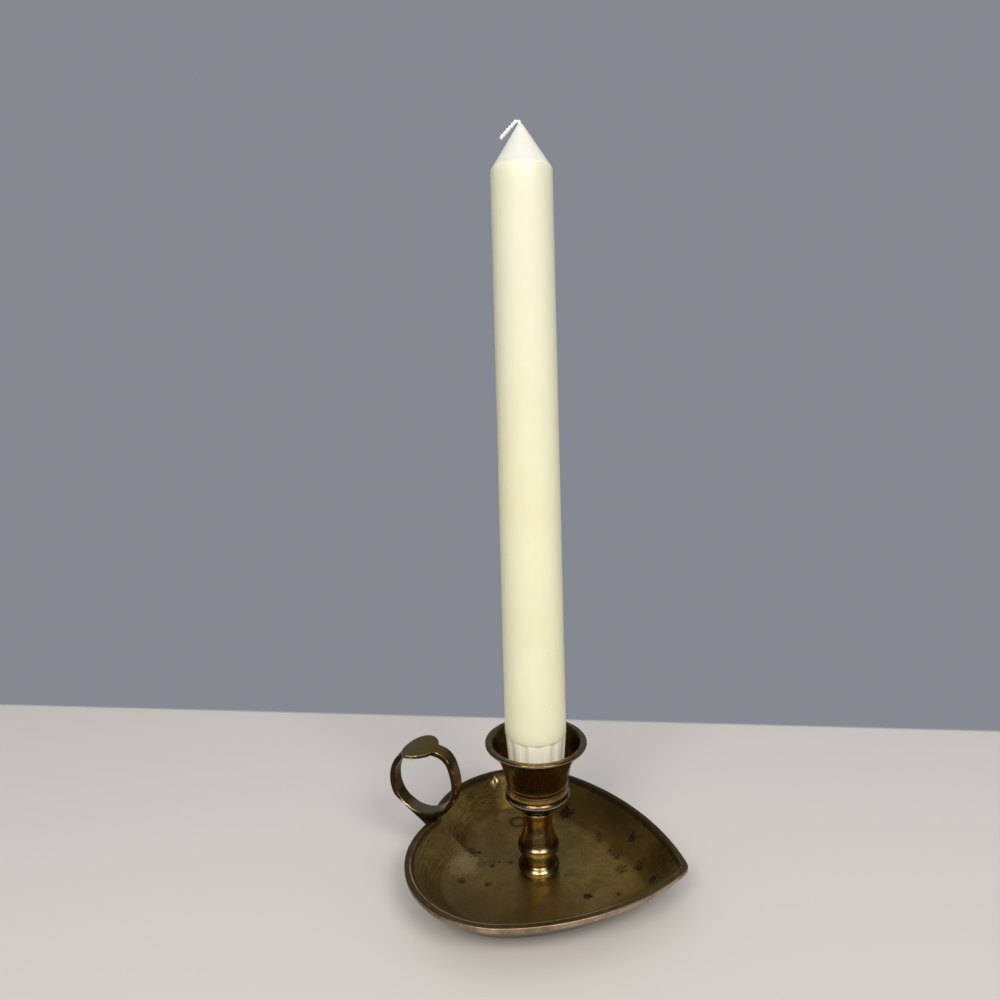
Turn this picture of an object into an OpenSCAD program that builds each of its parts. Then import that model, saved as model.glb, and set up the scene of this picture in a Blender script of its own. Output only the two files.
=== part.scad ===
// Heart-shaped brass chamberstick with a finger ring and a household candle.
// The candle cup stands on a turned stem, which a screw from below holds in the tray.
// The origin is on the stem's axis where the tray rests, +Z up, +X towards the heart's tip.

/* [Tray] */
// Radius of the heart's two round lobes
lobe_r = 35.9; // [32:0.1:40]
// How far the lobes' centres lie behind the stem's axis
lobe_back = 9.6; // [6:0.1:14]
// How far each lobe's centre lies to the side of the heart's axis
lobe_side = 11.8; // [8:0.1:15]
// Direction from a lobe's centre at which its arc runs over into the straighter side
side_start = 72.8; // [65:0.1:80]
// Distance from the stem's axis to the heart's tip
tip_reach = 55; // [48:0.5:62]
// Height of the rim over the table
rim_h = 16.3; // [14:0.1:17.5]
// Width of the flat on top of the rim
rim_w = 2.1; // [1.5:0.1:3]
// Height of the rim's upright outer edge
rim_edge = 1.9; // [1:0.1:3]
// Thickness of the floor
floor_t = 3.6; // [3:0.1:4.2]
// Thickness of the sloping wall
wall_t = 2; // [1.5:0.1:2.6]
// Horizontal run of the sloping wall, from the rim's flat down to the floor
wall_run = 12.1; // [11:0.1:14]
// Radius of the hollow between wall and floor
floor_round = 8; // [4:0.5:10]

/* [Stem] */
// Radius of the foot ring on the tray
foot_r = 7.1; // [6.5:0.1:8]
// Radius of the lower bead
bead_r = 7.7; // [7.4:0.1:9]
// Radius of the waist over the lower bead
waist_r = 6; // [5.5:0.1:6.5]
// Radius of the belly
belly_r = 7.7; // [7.4:0.1:9]
// Radius of the neck
neck_r = 5; // [4.6:0.1:5.4]
// Radius of the collar under the cup
collar_r = 5.7; // [5.6:0.1:6.5]
// Height of the stem from the tray's floor to the cup's seat
stem_h = 25.6; // [24:0.1:30]

/* [Candle cup] */
// Outer radius of the flared rim
cup_rim_r = 18.6; // [17.6:0.1:20]
// Inner radius of the flat on top of the rim
cup_lip_r = 16.1; // [15:0.1:16.5]
// Outer radius of the ring moulding round the bottom
cup_ring_r = 12.05; // [11.8:0.05:13]
// Outer radius of the straight wall over the moulding
cup_wall_r = 11.6; // [11.5:0.1:12]
// Radius of the bore that the candle's foot stands in
socket_r = 10.6; // [10.4:0.1:10.8]
// Height of the cup over its seat on the stem
cup_h = 26.7; // [26.4:0.1:30]
// Height of the bore's floor over the seat
socket_floor = 5.4; // [5:0.1:6]

/* [Fixings] */
// Diameter of the screw that holds the stem
screw_d = 4; // [3:0.5:5]
// Diameter of the screw's countersunk head
head_d = 7.6; // [6.5:0.1:8.5]
// How far the head lies above the tray's underside
head_sunk = 0.15; // [0.1:0.05:0.3]
// How far the screw's end stands above the tray's underside
screw_reach = 15; // [11:0.5:17]
// Diameter of the stud under the cup
stud_d = 6; // [5:0.5:6.5]
// Length of the stud
stud_l = 9; // [6:0.5:10]

/* [Finger ring] */
// Half the width of the ring's opening
hole_r = 12; // [11:0.1:13]
// How much higher the opening is than it is wide
hole_stretch = 0.6; // [0:0.1:3]
// Thickness of the band
band_t = 2.2; // [1.5:0.05:2.5]
// Width of the band
band_w = 6.1; // [5:0.1:8]
// Distance from the stem's axis back to the ring's middle
ring_back = 45.5; // [44.5:0.1:47]
// Height of the ring's middle over the table
ring_z = 32.6; // [32:0.1:36]
// Length of the thumb plate along the band
plate_l = 14.5; // [11:0.5:18]
// Width of the thumb plate
plate_w = 17.2; // [14:0.2:20]
// Thickness of the thumb plate
plate_t = 1.4; // [1.2:0.1:2.5]
// Radius of the thumb plate's bend along the band
plate_bend = 24; // [18:1:60]
// How far the thumb plate's middle lies behind the ring's middle
plate_back = 2.1; // [0:0.1:3]
// How far the highest line of the thumb plate lies in front of the ring's middle
plate_crown = 1; // [0:0.1:2]
// Thickness of the foot where it runs down the outside of the tray's wall
foot_t = 1.3; // [1:0.1:1.8]
// Height over the table at which the foot ends
foot_low = 8.2; // [6:0.2:11]
// How far round from the ring's bottom the foot's straight outer face starts
foot_turn = 38; // [20:1:40]

/* [Candle] */
// Radius just over the fluted foot
candle_r = 11.15; // [10.5:0.05:11.3]
// Radius under the cone at the top
candle_top_r = 10.08; // [9:0.02:11]
// Radius at the end of the fluted foot
candle_end_r = 9.35; // [8.5:0.05:10]
// Length of the fluted foot
flute_l = 24.4; // [20:0.2:27]
// Length of the candle from its end to the bottom of the cone
candle_l = 217.8; // [100:0.2:240]
// Height of the cone at the top
cone_h = 14.9; // [8:0.1:20]
// Number of flutes round the foot
flutes = 12; // [8:1:14]
// Direction of one flute's middle, from the heart's tip round
flute_turn = -67; // [-90:0.5:0]
// Depth of a flute
flute_depth = 0.5; // [0.2:0.05:0.7]
// Width of the ridge between two flutes
ridge_w = 2.2; // [0.8:0.1:2.6]
// Radius of the wick
wick_r = 0.85; // [0.5:0.05:0.95]
// Radius of the wick's bend over the cone
wick_bend = 1.05; // [1:0.05:2]
// Length of the wick's straight end past the bend
wick_tail = 6.5; // [3:0.5:9]

/* [Hidden] */
$fn = 96;
eps = 0.01;

brass = [0.44, 0.36, 0.2];
dark_brass = [0.36, 0.28, 0.15];
bright_brass = [0.62, 0.5, 0.25];
wax = [0.95, 0.91, 0.76];
cotton = [0.93, 0.93, 0.92];

// The side arc touches a lobe's arc and meets its mirror image at the tip.
lobe_x = -lobe_back;
tip_dx = tip_reach - lobe_x - lobe_r * cos(side_start);
tip_dy = lobe_side + lobe_r * sin(side_start);
side_r = (tip_dx * tip_dx + tip_dy * tip_dy)
    / (2 * (tip_dy * sin(side_start) - tip_dx * cos(side_start)));
side_x = lobe_x + (lobe_r - side_r) * cos(side_start);
side_y = lobe_side + (lobe_r - side_r) * sin(side_start);

// The wall's slope, and how far its outside lies from its inside along the horizontal.
wall_rise = rim_h - floor_t;
slope = atan2(wall_rise, wall_run);
wall_across = wall_t / sin(slope);

// Where the wall's outside would reach the table, as a distance in from the outline,
// and the height at which it runs out under the rim.
wall_foot = rim_w - wall_across + rim_h / tan(slope);
lip_z = rim_h - wall_across * tan(slope);

// Where the cup sits, where its bore ends and where the candle stands.
seat_z = floor_t + stem_h;
candle_z = seat_z + socket_floor;
cup_top = seat_z + cup_h;
apex_z = candle_z + candle_l + cone_h;

// The cone is blunt where the wick comes out.
cone_blunt = wick_r + 0.2;
cone_top = apex_z - cone_h * cone_blunt / candle_top_r;

// The wick bends back and to the left, as seen with the tip on the right.
wick_turn = 198.7;
wick_sweep = 135;

// Points of a circular arc about a centre, from one angle to another.
function arc(centre, radius, from, to, steps) =
    [for (i = [0:steps]) let (a = from + (to - from) * i / steps)
        [centre[0] + radius * cos(a), centre[1] + radius * sin(a)]];

// One point of a smooth curve through b and c, t of the way between them.
function smooth_point(a, b, c, d, t) =
    0.5 * (2 * b + (c - a) * t + (2 * a - 5 * b + 4 * c - d) * t * t
        + (3 * b - a - 3 * c + d) * t * t * t);

// A smooth curve through all the points, with the given steps between neighbours.
function smooth(p, steps) =
    let (last = len(p) - 1)
    [for (i = [0:last - 1]) for (s = [0:steps - 1])
        smooth_point(p[max(i - 1, 0)], p[i], p[i + 1], p[min(i + 2, last)], s / steps),
     p[last]];

// The tray's cross-section as distances in from the outline and heights.
function tray_section() =
    let (out_round = floor_round + floor_t,
         in_reach = floor_round * tan(slope / 2),
         out_reach = out_round * tan(slope / 2))
    concat([[0, rim_h], [rim_w, rim_h]],
        arc([rim_w + wall_run + in_reach, floor_t + floor_round], floor_round, 270 - slope, 270, 6),
        [[lobe_r, floor_t], [lobe_r, 0]],
        arc([wall_foot + out_reach, out_round], out_round, 270, 270 - slope, 6),
        [[rim_w, lip_z], [0, rim_h - rim_edge]]);

// Where a line at this distance in from both lobes' outlines meets the heart's axis, at the notch.
function notch_x(inset) = lobe_x - sqrt((lobe_r - inset) * (lobe_r - inset) - lobe_side * lobe_side);

// Where the wall's outside meets the heart's axis at a height, at the notch.
function wall_x(height) = notch_x(wall_foot - height / tan(slope));

// The tray's section turned about an arc's centre, with the floor filled in to the centre.
module turned_tray(radius) {
    rotate_extrude($fn = 180)
        polygon([for (p = tray_section()) [p[0] < lobe_r ? radius - p[0] : 0, p[1]]]);
}

// Half of the heart, on the +Y side: a round lobe and a straighter side that meet on one plane.
module half_heart() {
    reach = lobe_r + 10;
    ray = [cos(side_start), sin(side_start)];
    cross_x = lobe_x - lobe_side / tan(side_start);
    far = [lobe_x, lobe_side] + reach * ray;
    intersection() {
        translate([lobe_x, lobe_side, 0]) turned_tray(lobe_r);
        linear_extrude(rim_h + 1)
            polygon([[cross_x, 0], far, [lobe_x - reach, far[1]], [lobe_x - reach, 0]]);
    }
    intersection() {
        translate([side_x, side_y, 0]) turned_tray(side_r);
        linear_extrude(rim_h + 1)
            polygon([[cross_x, 0], [tip_reach + 5, 0], [tip_reach + 5, far[1]], far]);
    }
}

// Heart-shaped pan with a sloping wall, a flat rim and a countersunk hole for the stem's screw.
module tray() {
    sink_r = head_d / 2 + 0.2;
    hole_r_screw = screw_d / 2 + 0.2;
    color(brass) difference() {
        union() {
            half_heart();
            mirror([0, 1, 0]) half_heart();
        }
        translate([0, 0, -eps]) cylinder(h = floor_t + 2 * eps, r = hole_r_screw);
        translate([0, 0, -eps])
            cylinder(h = sink_r - hole_r_screw + eps, r1 = sink_r + eps, r2 = hole_r_screw);
    }
}

// Turned stem: foot ring, lower bead, waist, belly with a fine line cut round it, neck and collar.
module stem() {
    lower = smooth([
        [foot_r - 0.05, 0.3], [foot_r, 0.8], [bead_r - 0.35, 1.3], [bead_r, 2.5],
        [bead_r - 0.2, 3.5], [bead_r - 0.7, 4], [waist_r + 0.4, 4.5], [waist_r + 0.05, 5.1],
        [waist_r, 5.7], [waist_r + 0.3, 7.2], [belly_r - 0.45, 9.1]], 3);
    upper = smooth([
        [belly_r - 0.5, 9.3], [belly_r - 0.25, 9.6], [belly_r, 11], [belly_r - 0.15, 11.8],
        [belly_r - 0.65, 12.5], [belly_r - 1.35, 13.4], [neck_r + 0.7, 14.6], [neck_r + 0.25, 16.1],
        [neck_r + 0.05, 17.8], [neck_r, 19.9], [neck_r, stem_h - 3.5], [neck_r + 0.2, stem_h - 1.4],
        [collar_r - 0.1, stem_h - 1.1], [collar_r, stem_h - 0.7], [collar_r - 0.1, stem_h - 0.3],
        [collar_r - 0.4, stem_h]], 3);
    color(brass) translate([0, 0, floor_t]) difference() {
        rotate_extrude()
            polygon(concat([[0, 0], [foot_r - 0.15, 0]], lower, upper, [[0, stem_h]]));
        translate([0, 0, -eps])
            cylinder(h = screw_reach - floor_t + 1 + eps, r = screw_d / 2);
        translate([0, 0, stem_h - stud_l - 0.5])
            cylinder(h = stud_l + 0.5 + eps, r = stud_d / 2);
    }
}

// Thin turned cup with a flared rim, bands and a ring moulding round the bottom, and a stud.
module candle_cup() {
    // The bowl and the ring moulding, from the seat up to the first line cut round the cup.
    bowl = smooth([
        [collar_r - 0.4, 0], [7.2, 1.3], [9, 2.5], [cup_ring_r - 1.45, 3.6], [cup_ring_r - 0.45, 4.6],
        [cup_ring_r, 5.6], [cup_ring_r - 0.1, 6.5], [cup_ring_r - 0.65, 7.35]], 4);
    // A hollow band, a second line, a narrow bead and a third line.
    bands = concat(
        smooth([[cup_wall_r - 0.35, 7.5], [cup_wall_r - 0.05, 7.75], [cup_wall_r - 0.25, 9],
            [cup_wall_r - 0.1, 10.1]], 3),
        [[cup_wall_r - 0.3, 10.3]],
        smooth([[cup_wall_r - 0.05, 10.5], [cup_wall_r + 0.05, 11.1], [cup_wall_r - 0.05, 11.8]], 3),
        [[cup_wall_r - 0.25, 12]]);
    wall = smooth([
        [cup_wall_r, 12.2], [cup_wall_r + 0.45, 14.2], [cup_wall_r + 1.4, 18.2],
        [cup_wall_r + 2.9, 21.5], [cup_rim_r - 2.1, 24.2], [cup_rim_r - 0.3, 25.5]], 4);
    inside = smooth([
        [cup_lip_r, cup_h - 0.5], [14.7, cup_h - 2.7], [13.1, cup_h - 5.5], [11.7, 18.2],
        [socket_r + 0.15, 14.2], [socket_r, 12.4]], 4);
    color(dark_brass) translate([0, 0, seat_z]) {
        rotate_extrude()
            polygon(concat([[0, 0]], bowl, bands, wall,
                [[cup_rim_r, 25.9], [cup_rim_r, cup_h - 0.3], [cup_rim_r - 0.3, cup_h]],
                inside, [[socket_r, socket_floor], [0, socket_floor]]));
        translate([0, 0, -stud_l]) cylinder(h = stud_l + eps, r = stud_d / 2);
    }
}

// Countersunk slotted screw that comes up through the tray into the stem.
module fixing_screw() {
    slot_w = 1;
    slot_deep = 0.9;
    head_h = (head_d - screw_d) / 2;
    color(bright_brass) difference() {
        union() {
            translate([0, 0, head_sunk])
                cylinder(h = head_h, r1 = head_d / 2, r2 = screw_d / 2);
            translate([0, 0, head_sunk + head_h - eps])
                cylinder(h = screw_reach - head_sunk - head_h + eps, r = screw_d / 2);
        }
        translate([-head_d, -slot_w / 2, head_sunk - 1]) cube([2 * head_d, slot_w, slot_deep + 1]);
    }
}

// A cylinder lying across the heart's axis, about a point given as distance and height.
module across(x, z, radius, width) {
    translate([x, width / 2, z]) rotate([90, 0, 0]) cylinder(h = width, r = radius);
}

// A block as wide as given with the ring's outline: two upright half circles a little apart.
module ring_block(radius, width) {
    half = hole_stretch / 2;
    across(-ring_back, ring_z + half, radius, width);
    across(-ring_back, ring_z - half, radius, width);
    translate([-ring_back - radius, -width / 2, ring_z - half]) cube([2 * radius, width, 2 * half]);
}

// Everything inside the outer faces of one lobe, to shape the ring's foot to the notch.
module lobe_block() {
    translate([lobe_x, lobe_side, 0]) rotate_extrude($fn = 180)
        polygon([[0, rim_h], [lobe_r, rim_h], [lobe_r, rim_h - rim_edge],
            [lobe_r - rim_w, lip_z], [lobe_r - wall_foot, 0], [0, 0]]);
}

// Oval thumb plate, bent along the band and level with the ring's top.
module thumb_plate() {
    top = ring_z + hole_stretch / 2 + hole_r + band_t;
    crown_x = plate_crown - ring_back;
    oval = [for (a = [0:7.5:359]) [plate_l / 2 * cos(a), plate_w / 2 * sin(a)]];
    intersection() {
        translate([-ring_back - plate_back, 0, top - plate_bend / 2])
            linear_extrude(plate_bend) polygon(oval);
        difference() {
            across(crown_x, top - plate_bend, plate_bend, 2 * plate_w);
            across(crown_x, top - plate_bend, plate_bend - plate_t, 3 * plate_w);
        }
    }
}

// Foot of the ring: a web under the ring and a tongue down the outside of the wall, at the notch.
module ring_foot() {
    low_centre = ring_z - hole_stretch / 2;
    outer = hole_r + band_t;
    start = [-ring_back - outer * sin(foot_turn), low_centre - outer * cos(foot_turn)];
    tongue = foot_t / sin(slope);
    // The outline runs this far into the wall, from which the lobes then cut it free.
    lap = 1;
    shoulder_z = rim_h - lap;
    outline = [start + [0, band_t / 2], start,
        [wall_x(shoulder_z) - tongue, shoulder_z], [wall_x(foot_low) - tongue, foot_low],
        [wall_x(foot_low) + lap, foot_low + lap], [notch_x(rim_w), rim_h],
        [-ring_back + lap, low_centre - hole_r - band_t / 2]];
    difference() {
        translate([0, band_w / 2, 0]) rotate([90, 0, 0]) linear_extrude(band_w) polygon(outline);
        ring_block(hole_r + band_t / 3, 2 * band_w);
        lobe_block();
        mirror([0, 1, 0]) lobe_block();
    }
}

// Flat band bent into a ring, with a thumb plate on top and a foot brazed to the tray.
module finger_ring() {
    color(brass) {
        difference() {
            union() {
                ring_block(hole_r + band_t, band_w);
                thumb_plate();
            }
            ring_block(hole_r, 2 * plate_w);
        }
        ring_foot();
    }
}

// Household candle: a slow taper, a cone at the top and a fluted foot.
module candle() {
    step = 0.15;
    taper = atan2(candle_r - step - candle_end_r, flute_l);
    // A flute is as wide as its share of the girth, less a ridge.
    flute_w = 2 * PI * candle_r / flutes - ridge_w;
    cutter_r = (flute_w * flute_w / 4 + flute_depth * flute_depth) / (2 * flute_depth);
    past_end = 2;
    color(wax) translate([0, 0, candle_z]) difference() {
        rotate_extrude()
            polygon([[wick_r, 0], [candle_end_r - 0.5, 0], [candle_end_r, 0.5],
                [candle_r - step, flute_l], [candle_r, flute_l + 0.4],
                [candle_top_r, candle_l], [cone_blunt, cone_top - candle_z],
                [wick_r, cone_top - candle_z]]);
        for (i = [0:flutes - 1])
            rotate([0, 0, flute_turn + 360 * i / flutes]) translate([candle_end_r, 0, 0])
                rotate([0, taper, 0]) translate([cutter_r - flute_depth, 0, -past_end])
                    cylinder(h = past_end + flute_l - 0.2, r = cutter_r);
    }
}

// Wick: up through the candle, over in a tight bend and down beside the cone.
module wick() {
    // The straight lengths run a little into the bend, so that all is one piece.
    lap = 0.3;
    color(cotton) rotate([0, 0, wick_turn]) {
        translate([0, 0, candle_z]) cylinder(h = cone_top - candle_z + lap, r = wick_r);
        translate([wick_bend, 0, cone_top]) rotate([90, 0, 0]) mirror([1, 0, 0])
            rotate_extrude(angle = wick_sweep) translate([wick_bend, 0]) circle(r = wick_r, $fn = 24);
        translate([wick_bend - wick_bend * cos(wick_sweep), 0, cone_top + wick_bend * sin(wick_sweep)])
            rotate([0, wick_sweep, 0]) translate([0, 0, -lap]) cylinder(h = wick_tail + lap, r = wick_r);
    }
}

tray();
stem();
candle_cup();
fixing_screw();
finger_ring();
candle();
wick();
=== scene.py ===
import bpy
import math
from mathutils import Matrix, Vector, noise


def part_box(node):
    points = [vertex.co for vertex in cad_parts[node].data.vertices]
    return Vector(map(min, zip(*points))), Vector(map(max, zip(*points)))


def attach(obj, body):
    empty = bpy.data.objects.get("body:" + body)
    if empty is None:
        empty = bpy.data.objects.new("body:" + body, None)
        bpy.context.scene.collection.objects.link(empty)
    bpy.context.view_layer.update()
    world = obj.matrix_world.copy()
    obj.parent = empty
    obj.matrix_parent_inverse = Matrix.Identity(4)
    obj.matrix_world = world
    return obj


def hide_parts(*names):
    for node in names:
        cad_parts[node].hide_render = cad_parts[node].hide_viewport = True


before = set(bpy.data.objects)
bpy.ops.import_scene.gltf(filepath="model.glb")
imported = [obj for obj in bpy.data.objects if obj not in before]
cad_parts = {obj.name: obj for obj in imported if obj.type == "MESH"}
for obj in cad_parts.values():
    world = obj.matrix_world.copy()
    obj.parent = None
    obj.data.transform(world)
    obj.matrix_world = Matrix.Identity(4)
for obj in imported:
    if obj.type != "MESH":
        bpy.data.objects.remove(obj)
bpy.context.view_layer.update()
mm = 0.001

# Where the photograph was taken from, how wide the lens sees, and how the camera was tilted.
photoView = {
    "place": Vector((68.50, -227.46, 181.48)) * mm,
    "turn": 19.237,
    "pitch": 8.763,
    "roll": -1.832,
    "lens": 24.984,
    "sensor": 36,
}

# Two soft lamps over the camera, side by side, with a weaker one between them. The table's far edge
# runs across behind the object. The metal mirrors a lit backdrop there, and a dark room elsewhere.
studio = {
    "lampTurns": (-97, -41),
    "lampLift": 45,
    "lampReach": 1.3,
    "lampSize": 0.42,
    "lampPower": 6.2,
    "middleTurn": -69,
    "middleSize": 0.75,
    "middlePower": 3.6,
    "lampColour": (1.0, 0.97, 0.93),
    "topPower": 5.0,
    "roomColour": (0.235, 0.25, 0.282),
    "darkSide": (0.032, 0.028, 0.024),
    "backdropTurn": 4,
    "backdropLift": 34,
    "backdropReach": (0.52, 0.86),
    "floorColour": (0.62, 0.585, 0.55),
    "floorReach": 1.5,
    "edgeTurn": 12.0,
    "fadeFrom": 0.127,
    "fadeTo": 0.1305,
}


def clearSelection():
    if bpy.context.mode != "OBJECT":
        bpy.ops.object.mode_set(mode="OBJECT")
    bpy.ops.object.select_all(action="DESELECT")


def pick(piece):
    clearSelection()
    piece.select_set(True)
    bpy.context.view_layer.objects.active = piece


def editAll(piece):
    pick(piece)
    bpy.ops.object.mode_set(mode="EDIT")
    bpy.ops.mesh.select_mode(type="VERT")
    bpy.ops.mesh.select_all(action="SELECT")


def leaveEdit():
    bpy.ops.object.mode_set(mode="OBJECT")


def named(name):
    piece = bpy.context.object
    piece.name = name
    piece.data.name = name
    return piece


# An outline is drawn as by hand: a plane merged to one point, then extruded from point to point.
def drawOutline(name, points, closed=False):
    clearSelection()
    bpy.ops.mesh.primitive_plane_add(size=mm)
    piece = named(name)
    bpy.ops.object.mode_set(mode="EDIT")
    bpy.ops.mesh.select_mode(type="VERT")
    bpy.ops.mesh.merge(type="CENTER")
    bpy.ops.transform.translate(value=points[0] * mm)
    run = points + [points[0]] if closed else points
    for here, there in zip(run, run[1:]):
        bpy.ops.mesh.extrude_region_move(TRANSFORM_OT_translate={"value": (there - here) * mm})
    if closed:
        bpy.ops.mesh.select_all(action="SELECT")
        bpy.ops.mesh.remove_doubles(threshold=0.001 * mm)
    leaveEdit()
    return piece


def selectVertices(piece, wanted):
    leaveEdit()
    for vertex in piece.data.vertices:
        vertex.select = wanted(vertex.co / mm)
    bpy.ops.object.mode_set(mode="EDIT")


# Rounds one corner of a drawn outline.
def roundCorner(piece, corner, cut, steps):
    pick(piece)
    bpy.ops.object.mode_set(mode="EDIT")
    bpy.ops.mesh.select_mode(type="VERT")
    bpy.ops.mesh.select_all(action="DESELECT")
    selectVertices(piece, lambda co: (co - corner).length < 0.01)
    bpy.ops.mesh.bevel(offset=cut * mm, offset_type="OFFSET", segments=steps, affect="VERTICES")
    leaveEdit()


def spinOutline(piece, steps, turn, centre, axis=(0, 0, 1)):
    editAll(piece)
    bpy.ops.mesh.spin(steps=steps, angle=-math.radians(turn), center=Vector(centre) * mm, axis=axis)
    leaveEdit()


def closeSurface(piece):
    editAll(piece)
    bpy.ops.mesh.remove_doubles(threshold=0.004 * mm)
    bpy.ops.mesh.dissolve_degenerate(threshold=0.001 * mm)
    bpy.ops.mesh.select_all(action="SELECT")
    bpy.ops.mesh.normals_make_consistent(inside=False)
    leaveEdit()


def smoothShade(piece, angle):
    pick(piece)
    bpy.ops.object.shade_smooth_by_angle(angle=math.radians(angle))


def applyModifier(piece, kind, **settings):
    pick(piece)
    modifier = piece.modifiers.new(kind.lower(), kind)
    for key, value in settings.items():
        setattr(modifier, key, value)
    bpy.ops.object.modifier_apply(modifier=modifier.name)


# A smooth run of points through the drawn ones, for turned profiles.
def throughPoints(drawn, steps):
    run = []
    last = len(drawn) - 1
    for i in range(last):
        a, b = Vector(drawn[max(i - 1, 0)]), Vector(drawn[i])
        c, d = Vector(drawn[i + 1]), Vector(drawn[min(i + 2, last)])
        for step in range(steps):
            t = step / steps
            run.append(0.5 * (2 * b + (c - a) * t + (2 * a - 5 * b + 4 * c - d) * t * t
                              + (3 * b - a - 3 * c + d) * t * t * t))
    return run + [Vector(drawn[last])]


def turned(name, profile, steps=144):
    piece = drawOutline(name, [Vector((p[0], 0, p[1])) for p in profile])
    spinOutline(piece, steps, 360, (0, 0, 0))
    closeSurface(piece)
    return piece


# Slow waves in a cast or hammered surface, along the surface's own normals.
def addWaves(piece, height, length, where=lambda co: 1.0, shift=0.0):
    normals = [v.normal.copy() for v in piece.data.vertices]
    for vertex, normal in zip(piece.data.vertices, normals):
        co = vertex.co / mm
        lift = noise.noise(co / length + Vector((shift, shift, shift)))
        vertex.co += normal * (lift * height * where(co) * mm)


# The node helpers below keep each finish short to write.
class Finish:
    def __init__(self, name):
        self.material = bpy.data.materials.new(name)
        self.material.use_nodes = True
        self.tree = self.material.node_tree
        self.tree.nodes.clear()
        self.output = self.tree.nodes.new("ShaderNodeOutputMaterial")
        self.shader = self.tree.nodes.new("ShaderNodeBsdfPrincipled")
        self.tree.links.new(self.shader.outputs[0], self.output.inputs["Surface"])
        coordinates = self.tree.nodes.new("ShaderNodeTexCoord").outputs
        self.place, self.normal = coordinates["Object"], coordinates["Normal"]
        self.wander = self.spread(self.grain(1.6), 0.25, 0.75, -1, 1)

    def put(self, socket, value):
        if isinstance(value, bpy.types.NodeSocket):
            self.tree.links.new(value, socket)
        else:
            socket.default_value = value

    def add(self, kind, inputs, out=0, **settings):
        node = self.tree.nodes.new(kind)
        for key, value in settings.items():
            setattr(node, key, value)
        for key, value in inputs.items():
            self.put(node.inputs[key], value)
        return node.outputs[out]

    def math(self, operation, a, b=0.0, clamp=False):
        return self.add("ShaderNodeMath", {0: a, 1: b}, operation=operation, use_clamp=clamp)

    def stretched(self, scale, place=(0, 0, 0), turn=(0, 0, 0)):
        return self.add("ShaderNodeMapping", {"Vector": self.place, "Scale": scale,
                                              "Location": place, "Rotation": turn})

    # Noise whose size is given in millimetres.
    def grain(self, size, detail=3.0, rough=0.55, twist=0.0, space=None):
        return self.add("ShaderNodeTexNoise", {"Vector": space or self.place, "Scale": 1 / (size * mm),
                                               "Detail": detail, "Roughness": rough,
                                               "Distortion": twist})

    # A value spread from one range to another, clamped.
    def spread(self, value, low, high, start=0.0, end=1.0, smooth=True):
        kind = "SMOOTHSTEP" if smooth else "LINEAR"
        return self.add("ShaderNodeMapRange", {"Value": value, "From Min": low, "From Max": high,
                                               "To Min": start, "To Max": end},
                        interpolation_type=kind)

    def blend(self, amount, a, b):
        node = self.tree.nodes.new("ShaderNodeMix")
        node.data_type = "RGBA"
        self.put(node.inputs[0], amount)
        self.put(node.inputs[6], a if isinstance(a, bpy.types.NodeSocket) else (*a, 1))
        self.put(node.inputs[7], b if isinstance(b, bpy.types.NodeSocket) else (*b, 1))
        return node.outputs[2]

    # 1 where a value lies between two others, with soft ends.
    def between(self, value, low, high, soft):
        return self.math("MULTIPLY", self.spread(value, low - soft, low),
                         self.spread(value, high + soft, high))

    def most(self, masks):
        total = masks[0]
        for mask in masks[1:]:
            total = self.math("MAXIMUM", total, mask)
        return total

    def axis(self, name):
        return self.add("ShaderNodeSeparateXYZ", {0: self.place}, out="XYZ".index(name))

    def height(self):
        return self.math("MULTIPLY", self.axis("Z"), 1 / mm)

    def marked(self, name):
        return self.add("ShaderNodeAttribute", {}, out="Fac", attribute_name=name)

    def radial(self):
        flat = self.add("ShaderNodeVectorMath", {0: self.place, 1: (1, 1, 0)}, operation="MULTIPLY")
        length = self.add("ShaderNodeVectorMath", {0: flat}, out="Value", operation="LENGTH")
        return self.math("MULTIPLY", length, 1 / mm)

    # 1 on the side of a turned piece that faces the given way, -1 on the far side.
    def sideTowards(self, turn):
        way = (math.cos(math.radians(turn)), math.sin(math.radians(turn)), 0)
        flat = self.add("ShaderNodeVectorMath", {0: self.place, 1: (1, 1, 0)}, operation="MULTIPLY")
        flat = self.add("ShaderNodeVectorMath", {0: flat}, operation="NORMALIZE")
        return self.add("ShaderNodeVectorMath", {0: flat, 1: way}, out="Value", operation="DOT_PRODUCT")

    # How far a point lies from a centre, in millimetres, with a ragged edge of the given share.
    def awayFrom(self, centre, ragged):
        away = self.add("ShaderNodeVectorMath", {0: self.place, 1: [c * mm for c in centre]},
                        out="Value", operation="DISTANCE")
        return self.math("ADD", self.math("MULTIPLY", away, 1 / mm), self.math("MULTIPLY", self.wander, ragged))

    # 1 inside a ragged round mark, 0 outside it; centre and sizes in millimetres.
    def spot(self, centre, radius, soft=0.5, ragged=0.6):
        return self.spread(self.awayFrom(centre, ragged * radius), radius, radius * (1 - soft))

    # A ragged ring instead of a filled mark.
    def loop(self, centre, radius, width, ragged=0.3):
        away = self.awayFrom(centre, ragged)
        return self.between(away, radius - width / 2, radius + width / 2, width / 2)

    def times(self, a, b):
        return self.math("MULTIPLY", a, b, clamp=True)

    def bump(self, height, depth, below=None):
        inputs = {"Height": height, "Distance": depth * mm, "Strength": 1.0}
        if below is not None:
            inputs["Normal"] = below
        return self.add("ShaderNodeBump", inputs)

    # The colour, roughness and relief that the steps before have built up.
    def finishOff(self):
        self.put(self.shader.inputs["Base Color"], self.tone)
        self.put(self.shader.inputs["Roughness"], self.rough)
        self.put(self.shader.inputs["Normal"], self.relief)
        return self

    def wearOn(self, piece):
        piece.data.materials.clear()
        piece.data.materials.append(self.material)


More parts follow.
